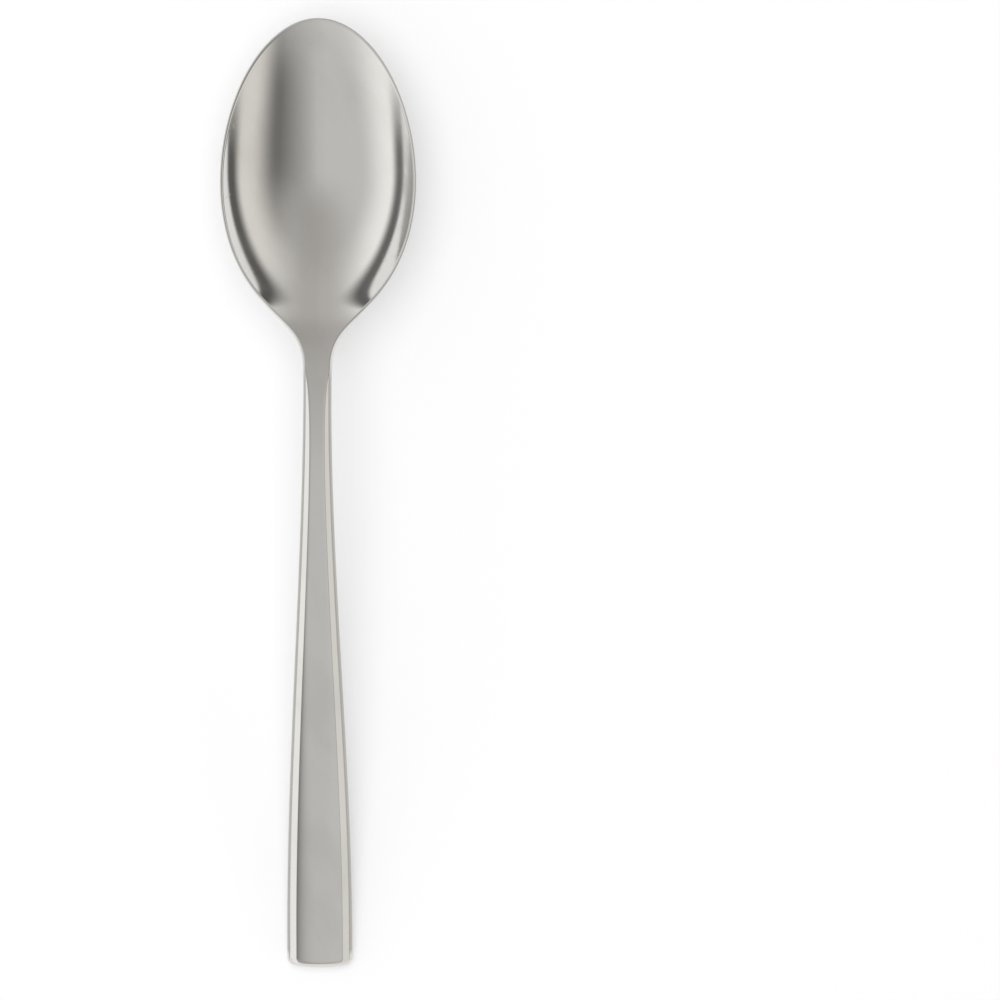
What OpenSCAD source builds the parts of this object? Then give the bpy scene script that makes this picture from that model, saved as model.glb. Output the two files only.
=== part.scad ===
// Teaspoon: one steel blank in three zones, an egg-shaped bowl, a slim neck and a tapering
// handle whose shallow channel lies between two bevelled borders. It rests on its back:
// +X to the right, +Y towards the tip of the bowl, +Z up, origin on the table mid-length.

/* [Overall] */
// Length from the end of the handle to the tip of the bowl
spoon_len = 140; // [130:1:150]
// Height of the top of the arch above the table
arch_h = 14.2; // [12:0.2:18]
// Place of the top of the arch, from the middle of the length
arch_y = 4; // [-6:1:10]
// Depth of the flat under the bowl that the spoon rests on
rest_cut = 0.1; // [0.05:0.01:0.2]
// Depth of the flat under the end of the handle that the spoon rests on
end_cut = 0.2; // [0.1:0.05:0.3]
// Slope of the handle at its end, in degrees
end_slope = 4; // [2:0.5:6]

/* [Bowl] */
// Length of the egg shape, tip to heel
bowl_len = 44.8; // [42:0.2:50]
// Greatest width
bowl_w = 28.8; // [25:0.2:33]
// Depth of the hollow below the rim
bowl_depth = 7.5; // [6:0.1:9]
// How much fuller the egg is towards the heel than towards the tip
bowl_egg = 0.07; // [0:0.01:0.15]
// Steel thickness at the bottom of the hollow
bowl_t = 1.5; // [1.2:0.05:2]
// Steel thickness at the rim, measured upright
rim_t = 1.25; // [1:0.05:1.5]
// Rounding of the rim
rim_r = 0.5; // [0.3:0.05:0.6]

/* [Neck] */
// Width of the neck
neck_w = 4.1; // [3.6:0.1:5]
// Thickness of the neck
neck_t = 3; // [2.4:0.1:3.6]
// Softness of the fillet between neck and heel, in square millimetres
heel_blend = 36; // [12:1:48]
// Softness of the run from the hollow up into the neck, in square millimetres
hollow_blend = 30; // [12:1:40]

/* [Handle] */
// Length from the end to the start of the neck
handle_len = 88; // [80:1:92]
// Width of the end
handle_w = 9.6; // [8:0.1:12]
// Thickness of the end
handle_t = 2.6; // [2.2:0.1:3]
// Rounding of the two corners of the end, seen from above
corner_r = 1; // [0.6:0.1:1.6]
// Bow of the end, as the rise at half its width
end_bow = 0.5; // [0:0.05:1]
// Rounding of the edges of the handle
edge_r = 0.35; // [0.2:0.05:0.5]

/* [Borders and channel] */
// Width of each border at the end
border_w = 1.4; // [1.1:0.05:1.8]
// Width of each border at the neck
border_neck_w = 1.1; // [0.8:0.05:1.2]
// Length over which the borders pinch out where the heel begins
pinch_len = 4.4; // [1.6:0.2:6]
// Width of the lip across the end
lip_w = 0.55; // [0.4:0.05:0.8]
// Height of the lip, as a share of the channel's depth
lip_rise = 0.25; // [0:0.05:0.5]
// Slope of the borders and of the lip in degrees
border_slope = 36; // [20:1:42]
// Slope of the channel's walls in degrees, at their crest
channel_slope = 22; // [10:1:30]
// Distance over which the channel's walls flatten out at the end
reach_w = 1; // [0.6:0.1:1.2]
// Distance over which the channel's walls flatten out at the neck
reach_neck_w = 0.12; // [0.08:0.02:0.2]
// Rounding of the channel's two corners at the end, seen from above
channel_r = 0.65; // [0.2:0.05:1]
// Rounding of the crest between border and channel
crest_round = 0.04; // [0.02:0.01:0.15]

/* [Hidden] */
tip_y = spoon_len/2;
end_y = -spoon_len/2;
neck_y = end_y + handle_len;
bowl_y = tip_y - bowl_len/2;
heel_cut_y = neck_y + 4;
neck_cut_y = neck_y - 10;
rim_h = bowl_depth + bowl_t - rest_cut;
pinch_y = neck_y + 1.8;
// distance over which the lip sinks into the channel
lip_reach = 0.2;
// share of the end face that stays upright between its two roundings
end_land = 0.4;
edge_power = 2.4;
steel = [0.74, 0.73, 0.71];

// ring layout: steps per half width in the edge, border, wall and floor
edge_steps = 3;
border_steps = 2;
wall_steps = 3;
floor_steps = 5;
half_steps = edge_steps + border_steps + wall_steps + floor_steps;
across = 2*half_steps;
ring_size = 2*across;

// Curves shared by the shapes

function mix(a, b, t) = a + (b - a)*t;

function clamp01(t) = min(max(t, 0), 1);

function ease(t) = let (u = clamp01(t)) u*u*(3 - 2*u);

// rises smoothly from 0 to t as t goes from below 0 to above 0
function soft_ramp(t, k) = t > 20*k ? t : k*ln(1 + exp(t/k));

// the lesser of a and b with their corner rounded off
function soft_min(a, b, k) = min(a, b) - pow(max(k - abs(a - b), 0), 2)/(4*k);

// Outline from above

function bowl_pos(y) = (y - bowl_y)/(bowl_len/2);

// square of the egg's half width, below 0 past its two ends
function egg_sq(y) =
    let (p = bowl_pos(y))
    pow(bowl_w/2*(1 - bowl_egg*p), 2)*(1 - p*p);

function taper(y) = ease((neck_y - 2.6 - y)/(0.92*handle_len));

function bar_half(y) = mix(neck_w, handle_w, taper(y))/2;

// square of the half width: the bar of the handle, filleted into the egg
function half_sq(y) =
    bowl_pos(y) > 0
    ? max(egg_sq(y), 0)
    : let (bar = pow(bar_half(y), 2)) bar + soft_ramp(egg_sq(y) - bar, heel_blend);

function half_sq_slope(y) = (half_sq(y + 0.01) - half_sq(y - 0.01))/0.02;

// what a corner of radius r takes off a side, at d from its start
function corner_cut(d, r) = r*(1 - sqrt(1 - pow(1 - clamp01(d/r), 2)));

function half_w(y) = sqrt(half_sq(y)) - corner_cut(y - end_y, corner_r);

// distance from the outline, at x across and y along
function inset(x, y) =
    let (w = half_w(y), a = abs(x))
    (w - a)*(w + a)/max(norm([w + a, half_sq_slope(y)]), 0.001);

// Side view

// height of the rim of the bowl and of the crests of the handle
function ridge(y) =
    y < arch_y
    ? let (l = arch_y - end_y, t = (y - end_y)/l)
        mix(handle_t - end_cut, arch_h, ease(t)) + l*tan(end_slope)*t*pow(1 - t, 2)
    : mix(arch_h, rim_h, ease((y - arch_y)/(bowl_y - arch_y)));

function base_t(y) =
    y < neck_y
    ? mix(handle_t, neck_t, ease((y - end_y)/handle_len))
    : mix(neck_t, rim_t, ease((y - neck_y)/(bowl_y - neck_y - 6)));

function hollow_mid(y) =
    let (sq = egg_sq(y))
    bowl_depth*(bowl_pos(y) > 0 ? max(sq, 0) : soft_ramp(sq, hollow_blend))/pow(bowl_w/2, 2);

function hollow(x, y) = hollow_mid(y)*(1 - x*x/max(half_sq(y), 0.0001));

// Borders and channel

// 1 along the handle, 0 where the borders have run out into the rim
function border_fade(y) = ease((pinch_y + 0.5 - y)/4);

function pinch(y) = 1 - exp(-max(pinch_y - y, 0)/pinch_len);

function border(y) = max(mix(border_neck_w, border_w, taper(y))*pinch(y), 0.05);

function reach(y) = mix(reach_neck_w, reach_w, pow(taper(y), 2.6));

// the borders fall outwards from the crest, and the channel's walls inwards until they are flat;
// at the end the channel rises a little to the lip, which falls outwards as the borders do, and
// the crest turns from border to lip in a round corner
function relief(x, y) =
    let (
        f = reach(y),
        u = inset(x, y) - border(y),
        v = y - end_y - lip_w,
        inside = max(u - corner_cut(v, channel_r), 0),
        walls = (exp(-inside/f) - 1)*f*tan(channel_slope),
        channel = walls*(1 - lip_rise*exp(-max(v, 0)/lip_reach)),
        lip = walls*(1 - lip_rise) + v*tan(border_slope),
        face = soft_min(u*tan(border_slope), lip, 1.17*channel_r*tan(border_slope))
    )
    soft_min(face, channel, crest_round)*border_fade(y);

// Skins of the steel

function nose(v, r) = pow(1 - pow(1 - clamp01(v/r), edge_power), 1/edge_power);

function edge_radius(y) = mix(rim_r, edge_r, border_fade(y));

// share of the thickness that is left near the outline and near the end
function edge_share(x, y) =
    nose(inset(x, y), edge_radius(y))*mix(end_land, 1, nose(y - end_y, edge_r + 0.1));

function top_z(x, y) = ridge(y) - hollow(x, y) + relief(x, y);

function under_z(x, y) =
    let (h = hollow(x, y))
    ridge(y) - h - base_t(y) - (bowl_t - rim_t)*h/bowl_depth;

function skin(x, y, side) =
    let (t = top_z(x, y), u = under_z(x, y))
    (t + u)/2 + side*(t - u)/2*edge_share(x, y);

// bows the end outwards in its middle
function bow(x, y) = end_bow*pow(x/(handle_w/2), 2)*ease((end_y + 12 - y)/12);

// Rings of points across the spoon, and the lofts through them

// distances from the outline to the middle: edge, border, wall, floor
function insets(y) =
    let (
        w = half_w(y),
        r = edge_radius(y),
        b = max(border(y), r + 0.1),
        f = 2*reach(y),
        k = min(1, 0.75*w/(b + f))
    )
    concat(
        [for (i = [0:edge_steps - 1]) k*r*(1 - cos(90*i/edge_steps))],
        [for (i = [0:border_steps - 1]) k*mix(r, b, i/border_steps)],
        [for (i = [0:wall_steps - 1]) k*(b + f*i/wall_steps)],
        [for (i = [0:floor_steps]) mix(k*(b + f), w, i/floor_steps)]
    );

function xs(y) =
    let (w = half_w(y), d = insets(y))
    [for (j = [0:across]) j <= half_steps ? d[j] - w : w - d[across - j]];

function ring(y) =
    let (x = xs(y))
    concat(
        [for (j = [0:across]) [x[j], y + bow(x[j], y), skin(x[j], y, 1)]],
        [for (j = [across - 1:-1:1]) [x[j], y + bow(x[j], y), skin(x[j], y, -1)]]
    );

function under_index(j) = (ring_size - j) % ring_size;

// triangles between ring i and ring i + 1
function band(i) = [
    for (j = [0:ring_size - 1])
        let (a = i*ring_size + j, b = i*ring_size + (j + 1) % ring_size)
        each [[a, a + ring_size, b + ring_size], [a, b + ring_size, b]]
];

// triangles that close ring i, facing back or on along the length
function cap(i, on) = [
    for (j = [0:across - 1])
        let (
            a = i*ring_size + j,
            b = i*ring_size + j + 1,
            c = i*ring_size + under_index(j + 1),
            d = i*ring_size + under_index(j)
        )
        each [
            if (b != c) on ? [a, c, b] : [a, b, c],
            if (a != d) on ? [a, d, c] : [a, c, d]
        ]
];

// triangles from ring i to the point that ends the loft
function point_fan(i) = [
    for (j = [0:ring_size - 1])
        [i*ring_size + j, (i + 1)*ring_size, i*ring_size + (j + 1) % ring_size]
];

module loft(ys, pointed = false) {
    n = len(ys);
    rings = [for (y = ys) each ring(y)];
    tip = [0, tip_y, skin(0, tip_y, 0)];
    bands = [for (i = [0:n - 2]) each band(i)];
    polyhedron(
        points = pointed ? concat(rings, [tip]) : rings,
        faces = concat(cap(0, false), bands, pointed ? point_fan(n - 1) : cap(n - 1, true)),
        convexity = 6
    );
}

// everything below the table, taken off so that the spoon rests on flats
module under_table() {
    translate([-50, -100, -20])
        cube([100, 200, 20]);
}

// Zones of the blank

module bowl() {
    n = 28;
    l = tip_y - heel_cut_y;
    color(steel)
        difference() {
            loft([for (i = [0:n - 1]) heel_cut_y + l*pow(sin(90*i/n), 1.4)], pointed = true);
            under_table();
        }
}

module neck() {
    n = 10;
    color(steel)
        loft([for (i = [0:n]) mix(neck_cut_y, heel_cut_y, i/n)]);
}

module handle() {
    n = 28;
    start = end_y + corner_r;
    color(steel)
        difference() {
            loft(concat(
                [for (i = [0:5]) end_y + corner_r*(1 - cos(15*i))],
                [for (i = [0:n]) mix(start, neck_cut_y, i/n)]
            ));
            under_table();
        }
}

bowl();
neck();
handle();
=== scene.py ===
"""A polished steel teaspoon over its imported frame.

The bowl, the neck and the handle are three smooth skins cut from one lofted form, so light runs
across their meeting planes without a break. They share one steel, lie on a pale floor in soft
studio light, and are seen from straight above.
"""

import bpy
import numpy as np
from bpy.props import FloatProperty, FloatVectorProperty, IntProperty, PointerProperty
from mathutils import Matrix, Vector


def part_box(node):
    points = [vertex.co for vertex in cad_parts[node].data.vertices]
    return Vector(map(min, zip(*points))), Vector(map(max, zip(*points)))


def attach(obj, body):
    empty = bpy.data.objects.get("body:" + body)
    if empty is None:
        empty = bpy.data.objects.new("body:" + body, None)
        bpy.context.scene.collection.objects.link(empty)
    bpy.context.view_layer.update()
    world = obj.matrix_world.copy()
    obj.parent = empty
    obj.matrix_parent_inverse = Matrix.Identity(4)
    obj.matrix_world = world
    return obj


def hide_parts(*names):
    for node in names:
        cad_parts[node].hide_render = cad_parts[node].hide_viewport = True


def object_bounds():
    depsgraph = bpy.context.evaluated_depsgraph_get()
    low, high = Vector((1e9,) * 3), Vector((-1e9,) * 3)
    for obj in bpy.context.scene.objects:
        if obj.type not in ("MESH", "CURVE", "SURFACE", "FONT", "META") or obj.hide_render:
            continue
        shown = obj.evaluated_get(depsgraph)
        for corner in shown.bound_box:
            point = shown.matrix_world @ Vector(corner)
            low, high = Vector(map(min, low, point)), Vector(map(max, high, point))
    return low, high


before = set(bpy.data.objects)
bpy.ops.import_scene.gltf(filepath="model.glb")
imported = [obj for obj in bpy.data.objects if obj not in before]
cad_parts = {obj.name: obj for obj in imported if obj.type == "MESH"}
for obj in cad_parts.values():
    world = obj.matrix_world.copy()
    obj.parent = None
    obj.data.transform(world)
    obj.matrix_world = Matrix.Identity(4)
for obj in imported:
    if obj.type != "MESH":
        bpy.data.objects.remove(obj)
CAD_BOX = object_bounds()
SPAN = CAD_BOX[1] - CAD_BOX[0]
NECK_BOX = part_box("neck")

bl_info = {
    "name": "Teaspoon",
    "version": (1, 0, 0),
    "blender": (4, 5, 0),
    "location": "View3D > Sidebar > Teaspoon",
    "description": "Builds a polished steel teaspoon and its studio stage",
    "category": "Add Mesh",
}


def length(name, description, default):
    """A length property in metres."""
    return FloatProperty(
        name=name, description=description, default=default, min=0.0,
        unit="LENGTH", subtype="DISTANCE", precision=5)


def share(name, description, default, high=1.0):
    """A plain number from 0 up to high."""
    return FloatProperty(
        name=name, description=description, default=default, min=0.0, max=high, precision=4)


def slope(name, description, degrees):
    """An angle property, given here in degrees."""
    return FloatProperty(
        name=name, description=description, default=np.radians(degrees), min=0.0, max=1.5,
        unit="ROTATION", subtype="ANGLE")


def colour(name, description, default):
    """A colour property with linear values."""
    return FloatVectorProperty(
        name=name, description=description, default=default, size=3, min=0.0, max=1.0,
        subtype="COLOR")


class TeaspoonSizes(bpy.types.PropertyGroup):
    """Sizes of the spoon, as in the part's source.

    Only the arch's height and the bowl's width are 0.02 mm less, so that the smooth skins stay
    inside the box of the solids.
    """

    spoon_length: length("Length", "From the end of the handle to the tip of the bowl", SPAN.y)
    arch_height: length("Arch height", "Top of the arch above the table", 0.01418)
    arch_place: FloatProperty(
        name="Arch place", description="Top of the arch, from the middle of the length",
        default=0.004, unit="LENGTH", subtype="DISTANCE", precision=5)
    rest_depth: length("Bowl rest", "Depth of the flat under the bowl", 0.0001)
    end_depth: length("End rest", "Depth of the flat under the end of the handle", 0.0002)
    end_slope: slope("End slope", "Slope of the handle at its end", 4)

    bowl_length: length("Bowl length", "Egg shape from tip to heel", 0.0448)
    bowl_width: length("Bowl width", "Greatest width of the bowl", 0.02878)
    bowl_depth: length("Bowl depth", "Hollow below the rim", 0.0075)
    bowl_egg: share("Egg", "How much fuller the bowl is towards the heel", 0.07)
    bowl_steel: length("Bowl steel", "Thickness at the bottom of the hollow", 0.0015)
    rim_steel: length("Rim steel", "Thickness at the rim, measured upright", 0.00125)
    rim_round: length("Rim rounding", "Radius of the rim", 0.0005)

    neck_width: length("Neck width", "Width of the neck", 0.0041)
    neck_steel: length("Neck steel", "Thickness of the neck", 0.003)
    heel_blend: FloatProperty(
        name="Heel blend", description="Softness of the fillet between neck and heel",
        default=36e-6, min=1e-6, unit="AREA", precision=6)
    hollow_blend: FloatProperty(
        name="Hollow blend", description="Softness of the run from the hollow into the neck",
        default=30e-6, min=1e-6, unit="AREA", precision=6)
    heel_plane: length("Heel plane", "Where the bowl ends and the neck begins", NECK_BOX[1].y)
    neck_plane: length("Neck plane", "Where the neck ends and the handle begins", NECK_BOX[0].y)

    handle_length: length("Handle length", "From the end to the start of the neck", 0.088)
    handle_width: length("Handle width", "Width of the end", 0.0096)
    handle_steel: length("Handle steel", "Thickness of the end", 0.0026)
    corner_round: length("Corner rounding", "Corners of the end, seen from above", 0.001)
    end_bow: length("End bow", "Bow of the end at half its width", 0.0005)
    edge_round: length("Edge rounding", "Edges of the handle", 0.00035)
    end_land: share("End land", "Share of the end face that stays upright", 0.4)

    border_width: length("Border width", "Each border at the end", 0.0014)
    border_neck: length("Border at neck", "Each border at the neck", 0.0011)
    pinch_length: length("Pinch length", "Over which the borders pinch out at the heel", 0.0044)
    lip_width: length("Lip width", "Lip across the end", 0.00055)
    lip_rise: share("Lip rise", "Height of the lip as a share of the channel's depth", 0.25)
    lip_reach: length("Lip reach", "Over which the lip sinks into the channel", 0.0002)
    border_slope: slope("Border slope", "Fall of the borders and the lip", 36)
    channel_slope: slope("Channel slope", "Fall of the channel's walls at their crest", 22)
    channel_reach: length("Channel reach", "Over which its walls flatten out at the end", 0.001)
    channel_neck: length("Channel reach at neck", "Over which they do so at the neck", 0.00012)
    channel_round: length("Channel corners", "At the end, seen from above", 0.00065)
    crest_round: length("Crest rounding", "Rounding between border and channel", 0.00004)


class TeaspoonFinish(bpy.types.PropertyGroup):
    """Look of the steel."""

    steel: colour("Steel", "Reflected colour of the polished steel", (0.70, 0.69, 0.67))
    worn: colour("Worn steel", "Reflected colour where handling has dulled it", (0.66, 0.65, 0.625))
    # Colour of the edges of neck and handle: painted dark reflection, darker than the steel,
    # standing in for the dark outline that the rounded edges reflect.
    dull_edge_painted_dark: colour("Ground edge", "Reflected colour of the handle's edges", (0.47, 0.458, 0.425))
    roughness: share("Roughness", "Roughness of the clean polish", 0.05)
    edge_haze: share("Edge haze", "Added roughness on the ground edges", 0.30)
    haze: share("Haze", "Added roughness in the dulled patches", 0.06)
    hairlines: share("Hairlines", "Depth of the polishing lines", 0.12)


class TeaspoonStage(bpy.types.PropertyGroup):
    """Floor, light and camera."""

    floor: colour("Floor", "Colour of the floor", (0.93, 0.935, 0.95))
    near_white: share("Near white", "Share of plain white in the floor by the spoon", 0.32)
    overhead: share("Overhead", "Brightness of the tent straight above", 0.67, 2.0)
    card: share("Card", "Darkness of the strip of card on the right", 0.67)
    skirt: share("Skirt", "Darkness of the skirt low down", 0.85)
    lamp_size: length("Lamp size", "Width of the round lamp", 1.3)
    lamp_power: FloatProperty(
        name="Lamp power", description="Power of the lamp", default=7.7, min=0.0, unit="POWER")
    lens: IntProperty(
        name="Lens", description="Focal length in millimetres", default=200, min=20, max=300)


# Lengths in metres, shares and powers in the spoon's form, the same as in the part's source.
PINCH_PAST_NECK = 0.0018
FADE_PAST_PINCH, FADE_LENGTH = 0.0005, 0.004
TAPER_BEFORE_NECK, TAPER_SHARE, REACH_POWER = 0.0026, 0.92, 2.6
RIM_STEEL_BEFORE_BOWL = 0.006
LEAST_BORDER = 0.00005
END_ROUND_EXTRA = 0.0001
BOW_LENGTH = 0.012
EDGE_POWER = 2.4
CORNER_BLEND = 1.17

# The dull edges, whose colour is painted darker as a painted dark reflection, start this far from
# the end and take as far again to show in full. Their width and its fade are shares of the edge
# rounding.
DULL_PAINTED_EDGE_START = 0.0012
DULL_PAINTED_EDGE_WIDTH, DULL_PAINTED_EDGE_FADE = 0.95, 0.3

# Half the distance over which the outline's slope is measured.
SLOPE_STEP = 1e-5

# Steps from the outline to the middle: rounded edge, border, crest, channel wall, channel floor.
EDGE, FACE, CREST, WALL, FLOOR = 8, 6, 8, 9, 14
ACROSS = 2 * (EDGE + FACE + CREST + WALL + FLOOR)
RING = 2 * ACROSS

# The border's zone is at least this wide in metres; the crest's, this many crest roundings a side.
LEAST_FACE, CREST_SPREAD = 0.0003, 1.6

# Rows along the spoon: rounded corners, the stretch behind them, handle, neck, bowl.
CORNER_ROWS, RAMP_ROWS, HANDLE_ROWS, NECK_ROWS, BOWL_ROWS = 61, 25, 141, 43, 141
RAMP_LENGTH = 0.004
RAMP_POWER, BOWL_POWER = 1.6, 1.4

# Marks on the steel: their number per metre along X, Y and Z, and their turn about Z.
HANDLE_LINES = (7000, 110, 7000), 0.0
BOWL_LINES = (160, 6000, 900), 0.35
HAZE_PATCHES = (120, 60, 120), 0.4
WORN_PATCHES = (300, 180, 300), 1.1
SCRATCHES = ((900, 50, 120), 0.5), ((700, 40, 120), -0.9)
SCRATCH_WIDTH = 0.006

# The lines turn from lengthwise to crosswise between these two places along the spoon.
LINES_TURN = 0.018, 0.034

# Depth of the marks in metres, the share of it in each kind, and what they add to the roughness.
MARK_DEPTH = 2e-5
LINE_DEPTH, SCRATCH_DEPTH = 0.6, 0.5
LINE_ROUGHNESS, SCRATCH_ROUGHNESS = 0.05, 0.08

# The floor runs out into white between two distances from the spoon's middle.
FLOOR_RADIUS, FLOOR_SIDES, FLOOR_FADE = 8, 96, (0.12, 0.60)
LAMP_PLACE, LAMP_TURN = (-0.12, 0.08, 1.1), (-0.073, -0.109, 0.0)
EYE_PLACE, FILM_WIDTH = (0.0267, -0.0008, 0.824), 36.0

# Changes of the tent's brightness by direction, the card's middle as an angle from upright, and
# the tent's colours.
UP_LOSS, LOW_GAIN, LEFT_GAIN, FAR_LEFT_GAIN, FAR_RIGHT_LOSS = 0.175, 0.30, 0.03, 0.15, 0.07
CARD_ANGLE = 0.77
TENT_COOL, TENT_WARM = (1.0, 0.995, 0.98, 1.0), (1.0, 0.975, 0.94, 1.0)
WHITE = (1.0, 1.0, 1.0, 1.0)


def mix(a, b, t):
    """Straight line from a to b as t goes from 0 to 1."""
    return a + (b - a) * t


def ease(t):
    """Smooth step: 3t^2 - 2t^3 between 0 and 1, level at both ends."""
    u = np.clip(t, 0.0, 1.0)
    return u * u * (3.0 - 2.0 * u)


def soft_ramp(t, k):
    """Rises smoothly from 0 to t as t passes 0: k ln(1 + exp(t/k))."""
    return np.where(t > 20.0 * k, t, k * np.log1p(np.exp(np.minimum(t / k, 20.0))))


def soft_min(a, b, k):
    """The lesser of a and b, less a parabola where they are within k of each other."""
    return np.minimum(a, b) - np.maximum(k - np.abs(a - b), 0.0) ** 2 / (4.0 * k)


def corner_cut(d, r):
    """What a corner of radius r takes off a side at d from its start: r - sqrt(r^2 - (r - d)^2)."""
    return r * (1.0 - np.sqrt(1.0 - (1.0 - np.clip(d / r, 0.0, 1.0)) ** 2))


def nose(v, r):
    """Rounded edge: 0 at the outline, 1 from the distance r inwards, along a superellipse."""
    return (1.0 - (1.0 - np.clip(v / r, 0.0, 1.0)) ** EDGE_POWER) ** (1.0 / EDGE_POWER)


class SpoonForm:
    """The spoon as functions of x across and y along, in metres.

    The outline is an egg whose squared half width is (b(1 - ep))^2 (1 - p^2), with p from -1 at
    the heel to 1 at the tip, filleted into a bar that widens along an ease curve. The rim and the
    crests follow one line in side view. The hollow sinks below it as the squared distance to the
    outline, and the borders and the channel are cut along the handle's edges.
    """

    def __init__(self, sizes):
        self.s = sizes
        self.tip = sizes.spoon_length / 2
        self.end = -self.tip
        self.neck = self.end + sizes.handle_length
        self.bowl = self.tip - sizes.bowl_length / 2
        self.rim = sizes.bowl_depth + sizes.bowl_steel - sizes.rest_depth
        self.pinch = self.neck + PINCH_PAST_NECK

    def bowl_pos(self, y):
        """p: -1 at the heel of the egg, 1 at its tip."""
        return (y - self.bowl) / (self.s.bowl_length / 2)

    def egg_sq(self, y):
        """Square of the egg's half width, below 0 past its ends."""
        p = self.bowl_pos(y)
        return (self.s.bowl_width / 2 * (1 - self.s.bowl_egg * p)) ** 2 * (1 - p * p)

    def taper(self, y):
        """0 at the neck, 1 near the end of the handle."""
        return ease((self.neck - TAPER_BEFORE_NECK - y) / (TAPER_SHARE * self.s.handle_length))

    def half_sq(self, y):
        """Square of the half width: the egg, or the bar filleted into it."""
        bar = (mix(self.s.neck_width, self.s.handle_width, self.taper(y)) / 2) ** 2
        egg = self.egg_sq(y)
        filleted = bar + soft_ramp(egg - bar, self.s.heel_blend)
        return np.where(self.bowl_pos(y) > 0, np.maximum(egg, 0), filleted)

    def half_width(self, y):
        """Half width with the end's corners rounded off."""
        return np.sqrt(self.half_sq(y)) - corner_cut(y - self.end, self.s.corner_round)

    def inset(self, x, y):
        """Distance from the outline: (w^2 - x^2) over the length of its gradient."""
        w, a = self.half_width(y), np.abs(x)
        run = (self.half_sq(y + SLOPE_STEP) - self.half_sq(y - SLOPE_STEP)) / (2 * SLOPE_STEP)
        return (w - a) * (w + a) / np.maximum(np.hypot(w + a, run), 1e-6)

    def ridge(self, y):
        """Height of the crests and the rim: a slow rise from the end to the arch, then a fall."""
        s = self.s
        run = s.arch_place - self.end
        t = (y - self.end) / run
        rise = mix(s.handle_steel - s.end_depth, s.arch_height, ease(t))
        rise = rise + run * np.tan(s.end_slope) * t * (1 - t) ** 2
        down = ease((y - s.arch_place) / (self.bowl - s.arch_place))
        return np.where(y < s.arch_place, rise, mix(s.arch_height, self.rim, down))

    def steel(self, y):
        """Thickness along the spoon, without what the bottom of the bowl adds."""
        s = self.s
        back = ease((y - self.end) / s.handle_length)
        front = ease((y - self.neck) / (self.bowl - self.neck - RIM_STEEL_BEFORE_BOWL))
        handle = mix(s.handle_steel, s.neck_steel, back)
        return np.where(y < self.neck, handle, mix(s.neck_steel, s.rim_steel, front))

    def hollow(self, x, y):
        """Depth below the rim: bowl depth times (w^2 - x^2)/b^2, fading out up the neck."""
        egg = self.egg_sq(y)
        faded = soft_ramp(egg, self.s.hollow_blend)
        sq = np.where(self.bowl_pos(y) > 0, np.maximum(egg, 0), faded)
        middle = self.s.bowl_depth * sq / (self.s.bowl_width / 2) ** 2
        return middle * (1 - x * x / np.maximum(self.half_sq(y), 1e-10))

    def border_fade(self, y):
        """1 along the handle, 0 where the borders have run out into the rim."""
        return ease((self.pinch + FADE_PAST_PINCH - y) / FADE_LENGTH)

    def border(self, y):
        """Width of the borders, down to nothing where they pinch out: 1 - exp(-d/l)."""
        s = self.s
        left = 1 - np.exp(-np.maximum(self.pinch - y, 0) / s.pinch_length)
        return np.maximum(mix(s.border_neck, s.border_width, self.taper(y)) * left, LEAST_BORDER)

    def reach(self, y):
        """Distance over which the channel's walls flatten out."""
        return mix(self.s.channel_neck, self.s.channel_reach, self.taper(y) ** REACH_POWER)

    def relief(self, x, y):
        """Sloping borders and a channel whose walls flatten out, the lower of the two.

        With u the distance inside the crest, f the reach and a and b the two slopes, the border
        is u tan(a) and the channel f tan(b) (exp(-u/f) - 1), drawn together by a rounded crest.
        At the end the channel rises a little to a lip, which falls outwards as the borders do,
        and the crest turns from border to lip in a round corner.
        """
        s = self.s
        f = self.reach(y)
        u = self.inset(x, y) - self.border(y)
        v = y - self.end - s.lip_width
        inside = np.maximum(u - corner_cut(v, s.channel_round), 0)
        walls = (np.exp(-inside / f) - 1) * f * np.tan(s.channel_slope)
        channel = walls * (1 - s.lip_rise * np.exp(-np.maximum(v, 0) / s.lip_reach))
        fall = np.tan(s.border_slope)
        lip = walls * (1 - s.lip_rise) + v * fall
        face = soft_min(u * fall, lip, CORNER_BLEND * s.channel_round * fall)
        return soft_min(face, channel, s.crest_round) * self.border_fade(y)

    def edge_radius(self, y):
        """Rounding of the outline's edge."""
        return mix(self.s.rim_round, self.s.edge_round, self.border_fade(y))

    def skins(self, x, y):
        """Heights of the upper and the lower skin, drawn together at the outline."""
        s = self.s
        hollow = self.hollow(x, y)
        bottom = (s.bowl_steel - s.rim_steel) * hollow / s.bowl_depth
        upper = self.ridge(y) - hollow + self.relief(x, y)
        lower = self.ridge(y) - hollow - self.steel(y) - bottom
        left = nose(self.inset(x, y), self.edge_radius(y))
        left = left * mix(s.end_land, 1, nose(y - self.end, s.edge_round + END_ROUND_EXTRA))
        middle, half = (upper + lower) / 2, (upper - lower) / 2 * left
        return np.maximum(middle + half, 0), np.maximum(middle - half, 0)

    def dull_edge_painted_dark_mask(self, x, y):
        """1 on the edges of neck and handle, which are duller and painted darker as a dark
        reflection; 0 on polished faces, end and rim.
        """
        edge = 1 - ease((self.inset(x, y) / self.s.edge_round - DULL_PAINTED_EDGE_WIDTH) / DULL_PAINTED_EDGE_FADE)
        return edge * self.border_fade(y) * ease((y - self.end) / DULL_PAINTED_EDGE_START - 1)

    def tip_point(self):
        """The point that closes the bowl."""
        return np.array([[0, self.tip, self.skins(np.zeros(1), np.array([self.tip]))[0][0]]])

    def bow(self, x, y):
        """How far the end curves back towards its corners."""
        s = self.s
        return s.end_bow * (x / (s.handle_width / 2)) ** 2 * ease((self.end - y) / BOW_LENGTH + 1)


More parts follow.
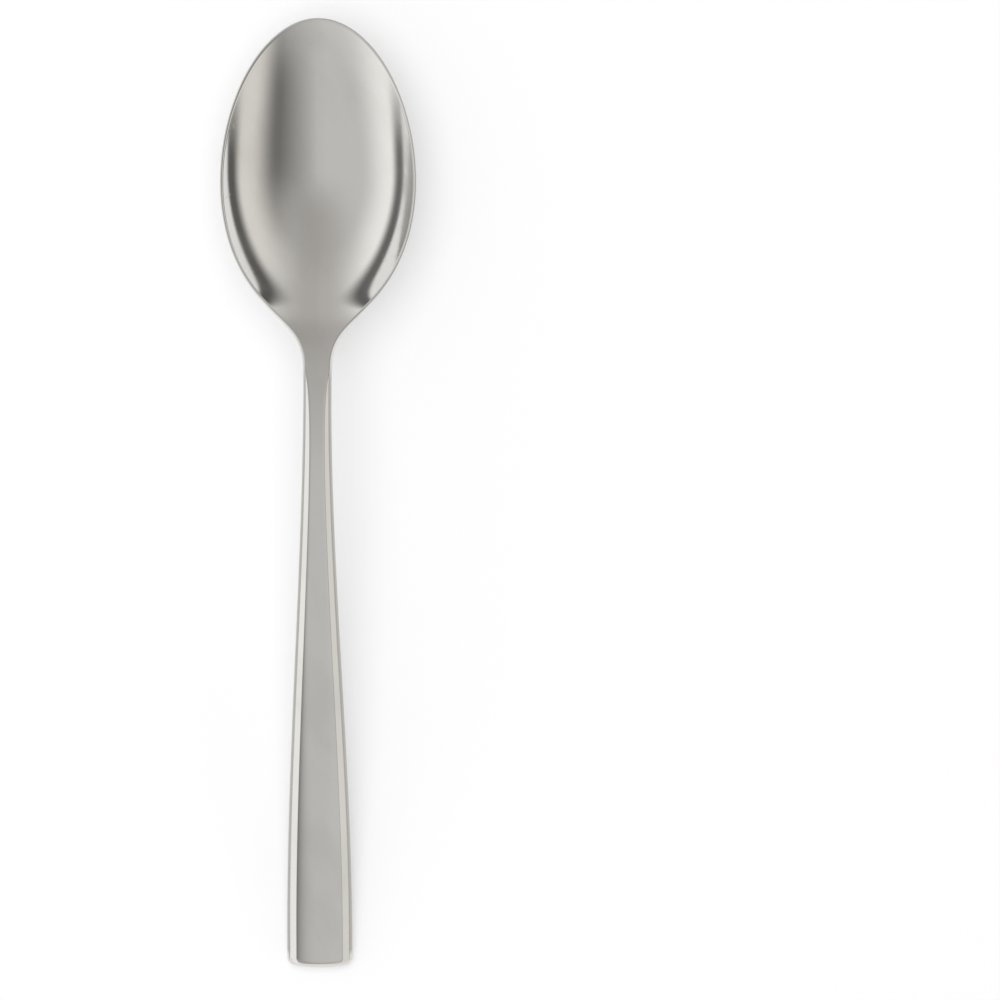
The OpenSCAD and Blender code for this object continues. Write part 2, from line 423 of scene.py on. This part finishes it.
def stations(form):
    """Rows along the length, close together at the end, the heel and the tip.

    Returns the rows and the two row numbers at the meeting planes.
    """
    s = form.s
    corner = s.corner_round * (1 - np.cos(np.linspace(0, np.pi / 2, CORNER_ROWS)))
    ramp = np.linspace(0, 1, RAMP_ROWS)[1:] ** RAMP_POWER * RAMP_LENGTH + s.corner_round
    handle = np.linspace(form.end + ramp[-1], s.neck_plane, HANDLE_ROWS)[1:]
    neck = np.linspace(s.neck_plane, s.heel_plane, NECK_ROWS)[1:]
    span = form.tip - s.heel_plane
    bowl = s.heel_plane + span * np.sin(np.linspace(0, np.pi / 2, BOWL_ROWS)[1:-1]) ** BOWL_POWER
    back = np.concatenate([form.end + corner, form.end + ramp, handle])
    return np.concatenate([back, neck, bowl]), len(back) - 1, len(back) + len(neck) - 1


def insets(form, y):
    """Distances from the outline to the middle, in zones: edge, border, crest, wall, floor.

    Where the spoon is narrow, the first four zones shrink together to 0.8 of its half width.
    """
    w = form.half_width(y)
    r = form.edge_radius(y)
    b = np.maximum(form.border(y), r + LEAST_FACE)
    c = CREST_SPREAD * form.s.crest_round
    stops = np.stack([0 * w, r, b - c, b + c, b + c + 2 * form.reach(y)], axis=1)
    stops = stops * np.minimum(1, 0.8 * w / stops[:, -1])[:, None]
    stops = np.concatenate([stops, w[:, None]], axis=1)
    shares = [1 - np.cos(np.linspace(0, np.pi / 2, EDGE + 1))]
    shares += [np.linspace(0, 1, n + 1) for n in (FACE, CREST, WALL, FLOOR)]
    zones = [
        stops[:, i:i + 1] + (stops[:, i + 1:i + 2] - stops[:, i:i + 1]) * f[None, :-1]
        for i, f in enumerate(shares)]
    return np.concatenate(zones + [w[:, None]], axis=1)


def rings(form, y):
    """Closed rings of points round the spoon, one per row: over the top, then back underneath."""
    w = form.half_width(y)[:, None]
    d = insets(form, y)
    x = np.concatenate([d - w, (w - d)[:, -2::-1]], axis=1)
    rows = np.broadcast_to(y[:, None], x.shape)
    top, under = form.skins(x, rows)
    along = rows + form.bow(x, rows)
    upper = np.stack([x, along, top], axis=2)
    lower = np.stack([x, along, under], axis=2)[:, -2:0:-1]
    return np.concatenate([upper, lower], axis=1)


def slant(before, here, after):
    """Tangent at here, from uneven steps before and after it."""
    a, b = here - before, after - here
    la = np.maximum(np.linalg.norm(a, axis=2, keepdims=True), 1e-9)
    lb = np.maximum(np.linalg.norm(b, axis=2, keepdims=True), 1e-9)
    return (b / lb * la + a / la * lb) / (la + lb)


def ring_normals(form, points):
    """Outward unit normals: tangent round the ring crossed with the tangent along the spoon."""
    across = slant(np.roll(points, 1, axis=1), points, np.roll(points, -1, axis=1))
    pole = np.broadcast_to(form.tip_point(), (1, RING, 3))
    after = np.concatenate([points[1:], pole])
    along = slant(np.concatenate([points[:1], points[:-1]]), points, after)
    along[0] = points[1] - points[0]
    normal = np.cross(across, along)
    bow = 2 * form.s.end_bow / (form.s.handle_width / 2) ** 2 * points[0, :, 0]
    normal[0] = np.stack([bow, -np.ones(RING), np.zeros(RING)], axis=1)
    return normal / np.maximum(np.linalg.norm(normal, axis=2, keepdims=True), 1e-12)


def ring_caps(row):
    """Faces that close a ring of point numbers, from its upper to its lower half, facing back."""
    top = row[:ACROSS + 1]
    under = np.concatenate([row[:1], row[:ACROSS - 1:-1]])
    quads = np.stack([under[1:-2], under[2:-1], top[2:-1], top[1:-2]], axis=1)
    ends = [[under[0], under[1], top[1]], [under[-2], top[-1], top[-2]]]
    return quads, np.array(ends)


def skin_mesh(name, form, points, normals, dull_edge_painted_dark, tip=False, back_normal=True):
    """A closed mesh of rings with its normals and the attribute that marks its dull edges, painted
    dark.

    Neighbouring rings are joined by quads. Each open end is closed by a flat cap, or by a fan to
    the tip of the bowl.
    """
    rows = len(points)
    number = np.arange(rows * RING).reshape(rows, RING)
    nxt = np.roll(number, -1, axis=1)
    sides = np.stack([number[:-1], nxt[:-1], nxt[1:], number[1:]], axis=2).reshape(-1, 4)
    cap_quads, cap_ends = ring_caps(number[0])
    faces = [sides, cap_quads, cap_ends]
    point_list = points.reshape(-1, 3)
    normal_list = normals.reshape(-1, 3)
    dull_edge_painted_dark_list = dull_edge_painted_dark.reshape(-1)
    flat = [None, (0, -1, 0), (0, -1, 0)] if back_normal else [None, None, None]
    if tip:
        point_list = np.concatenate([point_list, form.tip_point()])
        normal_list = np.concatenate([normal_list, [[0, 1, 0]]])
        dull_edge_painted_dark_list = np.concatenate([dull_edge_painted_dark_list, [0]])
        faces.append(np.stack([number[-1], nxt[-1], np.full(RING, rows * RING)], axis=1))
        flat.append(None)
    else:
        front_quads, front_ends = ring_caps(number[-1])
        faces += [front_quads[:, ::-1], front_ends[:, ::-1]]
        flat += [(0, 1, 0), (0, 1, 0)]
    corners = [
        normal_list[f.reshape(-1)] if n is None else np.broadcast_to(n, (f.size, 3))
        for f, n in zip(faces, flat)]
    mesh = bpy.data.meshes.new(name)
    mesh.from_pydata(point_list.tolist(), [], [f for part in faces for f in part.tolist()])
    mesh.polygons.foreach_set("use_smooth", np.ones(len(mesh.polygons), dtype=bool))
    mesh.normals_split_custom_set(np.concatenate(corners).tolist())
    layer = mesh.attributes.new("dull_edge_painted_dark_mask", "FLOAT", "POINT")
    layer.data.foreach_set("value", dull_edge_painted_dark_list)
    mesh.update()
    return mesh


def spoon_skin(scene):
    """The spoon's rings, normals and dull edges painted dark, with the rows of the two meeting
    planes.
    """
    form = SpoonForm(scene.teaspoon_sizes)
    y, neck_row, heel_row = stations(form)
    points = rings(form, y)
    dull_edge_painted_dark = form.dull_edge_painted_dark_mask(points[:, :, 0], y[:, None])
    return form, points, ring_normals(form, points), dull_edge_painted_dark, neck_row, heel_row


def dress(mesh, node, scene):
    """Puts a skin in the scene in place of its solid, in the shared steel."""
    piece = bpy.data.objects.new("steel_" + node, mesh)
    scene.collection.objects.link(piece)
    mesh.materials.append(polished_steel(scene.teaspoon_finish))
    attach(piece, "root")
    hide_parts(node)


class Wire:
    """A node's output, whose arithmetic adds Math nodes to its tree."""

    def __init__(self, tree, socket):
        self.tree, self.socket = tree, socket

    def math(self, operation, *values):
        """A Math node over this tree's values."""
        return add_node(
            self.tree, "ShaderNodeMath", {"operation": operation}, dict(enumerate(values)))

    def __add__(self, other):
        return self.math("ADD", self, other)

    def __radd__(self, other):
        return self.math("ADD", other, self)

    def __sub__(self, other):
        return self.math("SUBTRACT", self, other)

    def __rsub__(self, other):
        return self.math("SUBTRACT", other, self)

    def __mul__(self, other):
        return self.math("MULTIPLY", self, other)

    def __rmul__(self, other):
        return self.math("MULTIPLY", other, self)

    def __truediv__(self, other):
        return self.math("DIVIDE", self, other)

    def step(self, low, high):
        """0 below low and 1 above high, smooth between."""
        return add_node(
            self.tree, "ShaderNodeMapRange", {"interpolation_type": "SMOOTHSTEP"},
            {"Value": self, "From Min": low, "From Max": high})


def add_node(tree, kind, settings=None, sockets=None, output=0):
    """A node with its settings, then its sockets' values or links; gives one output as a Wire."""
    node = tree.nodes.new(kind)
    for key, value in (settings or {}).items():
        setattr(node, key, value)
    for key, value in (sockets or {}).items():
        if isinstance(value, Wire):
            tree.links.new(value.socket, node.inputs[key])
        else:
            node.inputs[key].default_value = value
    return Wire(tree, node.outputs[output]) if node.outputs else node


def mix_colours(tree, share, first, second):
    """The first colour where share is 0, the second where it is 1."""
    return add_node(tree, "ShaderNodeMix", {"data_type": "RGBA"}, {
        "Factor": share, 6: first, 7: second}, output=2)


def new_tree(owner):
    """An emptied node tree of a material or world."""
    owner.use_nodes = True
    owner.node_tree.nodes.clear()
    return owner.node_tree


def stretched_noise(tree, place, stretch, turn, detail):
    """Noise drawn out into lines: the place turned about Z, then scaled along each axis."""
    turned = add_node(tree, "ShaderNodeMapping", {"vector_type": "TEXTURE"}, {
        "Vector": place, "Rotation": (0, 0, turn), "Scale": [1 / s for s in stretch]})
    return add_node(tree, "ShaderNodeTexNoise", {"noise_dimensions": "3D"}, {
        "Vector": turned, "Scale": 1.0, "Detail": detail, "Roughness": 0.6})


def fine_scratches(tree, place, stretch, turn):
    """Thin lines where drawn-out noise n passes 0.5: max(1 - |n - 0.5|/width, 0)."""
    off = stretched_noise(tree, place, stretch, turn, 0.0) - 0.5
    line = 1 - off.math("ABSOLUTE", off) / SCRATCH_WIDTH
    return line.math("MAXIMUM", line, 0.0)


def polished_steel(finish):
    """Polished stainless steel, one material for all zones.

    Fine lengthwise polishing lines on the handle turn crosswise in the bowl. Soft patches of haze
    and a few stray scratches raise the roughness, and the haze tints the reflection a little. The
    handle's edges are rougher, and their colour is painted darker: a painted dark reflection along
    the outline.
    """
    name = "polished_steel"
    if name in bpy.data.materials:
        return bpy.data.materials[name]
    material = bpy.data.materials.new(name)
    tree = new_tree(material)
    place = add_node(tree, "ShaderNodeTexCoord", output="Object")
    apart = add_node(tree, "ShaderNodeSeparateXYZ", {}, {"Vector": place})
    along = Wire(tree, apart.socket.node.outputs["Y"])
    in_bowl = along.step(*LINES_TURN)
    lengthwise = stretched_noise(tree, place, *HANDLE_LINES, 3.0)
    crosswise = stretched_noise(tree, place, *BOWL_LINES, 3.0)
    lines = lengthwise * (1 - in_bowl) + crosswise * in_bowl
    haze = stretched_noise(tree, place, *HAZE_PATCHES, 4.0).step(0.42, 0.72)
    used = stretched_noise(tree, place, *WORN_PATCHES, 2.0).step(0.56, 0.70)
    one_way, other_way = (fine_scratches(tree, place, *way) for way in SCRATCHES)
    scratches = one_way.math("MAXIMUM", one_way, other_way) * used
    tint = mix_colours(tree, haze, (*finish.steel, 1.0), (*finish.worn, 1.0))
    # Painted dark reflection: along the dull edges the steel's colour is mixed towards the darker
    # edge colour, and the same mask raises the roughness.
    dull_edge_painted_dark = add_node(tree, "ShaderNodeAttribute", {"attribute_name": "dull_edge_painted_dark_mask"}, output="Fac")
    tint = mix_colours(tree, dull_edge_painted_dark, tint, (*finish.dull_edge_painted_dark, 1.0))
    rough = finish.roughness + haze * finish.haze + (lines - 0.5) * LINE_ROUGHNESS
    rough = rough + scratches * SCRATCH_ROUGHNESS + dull_edge_painted_dark * finish.edge_haze
    grain = lines * LINE_DEPTH - scratches * SCRATCH_DEPTH
    bump = add_node(tree, "ShaderNodeBump", {}, {
        "Strength": finish.hairlines, "Distance": MARK_DEPTH, "Height": grain})
    shader = add_node(tree, "ShaderNodeBsdfPrincipled", {}, {
        "Base Color": tint, "Metallic": 1.0, "Roughness": rough, "Normal": bump})
    add_node(tree, "ShaderNodeOutputMaterial", {}, {"Surface": shader})
    return material


def pale_floor(stage):
    """White floor that keeps its shadow near the spoon and runs out into white far away.

    The steel reflects it as the camera sees it.
    """
    material = bpy.data.materials.new("pale_floor")
    tree = new_tree(material)
    place = add_node(tree, "ShaderNodeTexCoord", output="Object")
    far = add_node(
        tree, "ShaderNodeVectorMath", {"operation": "LENGTH"}, {0: place}, output="Value")
    seen = path = add_node(tree, "ShaderNodeLightPath", output="Is Camera Ray")
    for ray in ("Is Glossy Ray", "Is Transmission Ray"):
        seen = seen.math("MAXIMUM", seen, Wire(tree, path.socket.node.outputs[ray]))
    matt = add_node(tree, "ShaderNodeBsdfDiffuse", {}, {"Color": (*stage.floor, 1.0)})
    white = add_node(tree, "ShaderNodeEmission", {}, {"Color": WHITE, "Strength": 1.0})
    share_white = seen * (stage.near_white + (1 - stage.near_white) * far.step(*FLOOR_FADE))
    shader = add_node(tree, "ShaderNodeMixShader", {}, {0: share_white, 1: matt, 2: white})
    add_node(tree, "ShaderNodeOutputMaterial", {}, {"Surface": shader})
    return material


def light_tent(scene, stage):
    """Soft light all round, by direction (x right, y up the picture, z overhead).

    It is grey overhead, darker and warmer up the picture and brighter low down, brightest on the
    left, with one dark strip of card along the right at about 45 degrees. Low down a dark skirt,
    open towards the handle's end, hangs over a white band, which is the background of low views.
    """
    world = bpy.data.worlds.new("light_tent")
    scene.world = world
    tree = new_tree(world)
    way = add_node(tree, "ShaderNodeTexCoord", output="Generated")
    x = add_node(tree, "ShaderNodeSeparateXYZ", {}, {"Vector": way})
    y, z = (Wire(tree, x.socket.node.outputs[n]) for n in "YZ")
    lean = x.math("ARCTAN2", x, z)
    up = y.step(-0.10, 0.60) * (1 - x.math("ABSOLUTE", x).step(0.10, 0.80))
    glow = stage.overhead - UP_LOSS * up + LOW_GAIN * z.step(0.65, 0.25) * (1 - 0.8 * up)
    glow = glow + LEFT_GAIN * lean.step(0.0, -0.25) + FAR_LEFT_GAIN * lean.step(-0.80, -1.45)
    glow = glow - FAR_RIGHT_LOSS * lean.step(0.80, 1.50)
    near_card = lean / CARD_ANGLE
    card = near_card.math("MAXIMUM", near_card, 0.0)
    card = card.math("MINIMUM", card, 1.0) * (1 - lean.step(0.82, 1.20))
    card = card * (1 - y.step(-0.20, 0.95)) * y.step(-1.0, -0.50)
    skirt = z.step(0.24, 0.14) * (1 - y.step(-0.05, -0.50))
    band = z.step(0.10, 0.07)
    glow = glow * (1 - stage.card * card) * (1 - stage.skirt * skirt) * (1 - band) + band
    warm = x.step(-0.2, 0.9)
    warm = warm.math("MAXIMUM", warm, up)
    tone = mix_colours(tree, warm, TENT_COOL, TENT_WARM)
    tone = mix_colours(tree, band, tone, WHITE)
    tent = add_node(tree, "ShaderNodeBackground", {}, {"Color": tone, "Strength": glow})
    add_node(tree, "ShaderNodeOutputWorld", {}, {"Surface": tent})


class TEASPOON_OT_bowl(bpy.types.Operator):
    """Make the bowl, from the heel plane to the tip"""

    bl_idname = "teaspoon.bowl"
    bl_label = "Make bowl"

    def execute(self, context):
        form, points, normals, dull_edge_painted_dark, _, heel = spoon_skin(context.scene)
        mesh = skin_mesh("bowl_skin", form, points[heel:], normals[heel:], dull_edge_painted_dark[heel:], tip=True)
        dress(mesh, "bowl", context.scene)
        return {"FINISHED"}


class TEASPOON_OT_neck(bpy.types.Operator):
    """Make the neck, between the two meeting planes"""

    bl_idname = "teaspoon.neck"
    bl_label = "Make neck"

    def execute(self, context):
        form, points, normals, dull_edge_painted_dark, neck, heel = spoon_skin(context.scene)
        rows = slice(neck, heel + 1)
        mesh = skin_mesh("neck_skin", form, points[rows], normals[rows], dull_edge_painted_dark[rows])
        dress(mesh, "neck", context.scene)
        return {"FINISHED"}


class TEASPOON_OT_handle(bpy.types.Operator):
    """Make the handle, from its end to the neck plane"""

    bl_idname = "teaspoon.handle"
    bl_label = "Make handle"

    def execute(self, context):
        form, points, normals, dull_edge_painted_dark, neck, _ = spoon_skin(context.scene)
        rows = slice(0, neck + 1)
        mesh = skin_mesh(
            "handle_skin", form, points[rows], normals[rows], dull_edge_painted_dark[rows], back_normal=False)
        dress(mesh, "handle", context.scene)
        return {"FINISHED"}


class TEASPOON_OT_stage(bpy.types.Operator):
    """Make the floor, the light tent, the lamp and the camera"""

    bl_idname = "teaspoon.stage"
    bl_label = "Set stage"

    def execute(self, context):
        scene, stage = context.scene, context.scene.teaspoon_stage
        scene.view_settings.view_transform = "Standard"

        turn = np.linspace(0, 2 * np.pi, FLOOR_SIDES, endpoint=False)
        edge = FLOOR_RADIUS * np.stack([np.cos(turn), np.sin(turn), 0 * turn], axis=1)
        mesh = bpy.data.meshes.new("floor")
        mesh.from_pydata(edge.tolist(), [], [list(range(FLOOR_SIDES))])
        mesh.materials.append(pale_floor(stage))
        floor = bpy.data.objects.new("floor", mesh)
        scene.collection.objects.link(floor)

        light_tent(scene, stage)
        lamp = bpy.data.lights.new("soft_lamp", "AREA")
        lamp.shape, lamp.size, lamp.energy = "DISK", stage.lamp_size, stage.lamp_power
        soft = bpy.data.objects.new("soft_lamp", lamp)
        soft.location, soft.rotation_euler = LAMP_PLACE, LAMP_TURN
        soft.visible_glossy = False
        scene.collection.objects.link(soft)

        camera = bpy.data.cameras.new("from_above")
        camera.lens, camera.sensor_width = stage.lens, FILM_WIDTH
        eye = bpy.data.objects.new("from_above", camera)
        eye.location = EYE_PLACE
        scene.collection.objects.link(eye)
        scene.camera = eye
        return {"FINISHED"}


class TEASPOON_PT_panel(bpy.types.Panel):
    """Lists the pieces of the spoon and its stage"""

    bl_idname = "TEASPOON_PT_panel"
    bl_label = "Teaspoon"
    bl_space_type = "VIEW_3D"
    bl_region_type = "UI"
    bl_category = "Teaspoon"

    def draw(self, context):
        for step in PIECES:
            self.layout.operator(step.bl_idname)
        scene = context.scene
        for group in (scene.teaspoon_sizes, scene.teaspoon_finish, scene.teaspoon_stage):
            column = self.layout.column(align=True)
            for key in group.__annotations__:
                column.prop(group, key)


PIECES = (TEASPOON_OT_bowl, TEASPOON_OT_neck, TEASPOON_OT_handle, TEASPOON_OT_stage)
CLASSES = (TeaspoonSizes, TeaspoonFinish, TeaspoonStage, *PIECES, TEASPOON_PT_panel)


def register():
    for cls in CLASSES:
        bpy.utils.register_class(cls)
    bpy.types.Scene.teaspoon_sizes = PointerProperty(type=TeaspoonSizes)
    bpy.types.Scene.teaspoon_finish = PointerProperty(type=TeaspoonFinish)
    bpy.types.Scene.teaspoon_stage = PointerProperty(type=TeaspoonStage)


def unregister():
    del bpy.types.Scene.teaspoon_stage
    del bpy.types.Scene.teaspoon_finish
    del bpy.types.Scene.teaspoon_sizes
    for cls in reversed(CLASSES):
        bpy.utils.unregister_class(cls)


def main():
    register()
    bpy.ops.teaspoon.bowl()
    bpy.ops.teaspoon.neck()
    bpy.ops.teaspoon.handle()
    bpy.ops.teaspoon.stage()


if __name__ == "__main__":
    main()
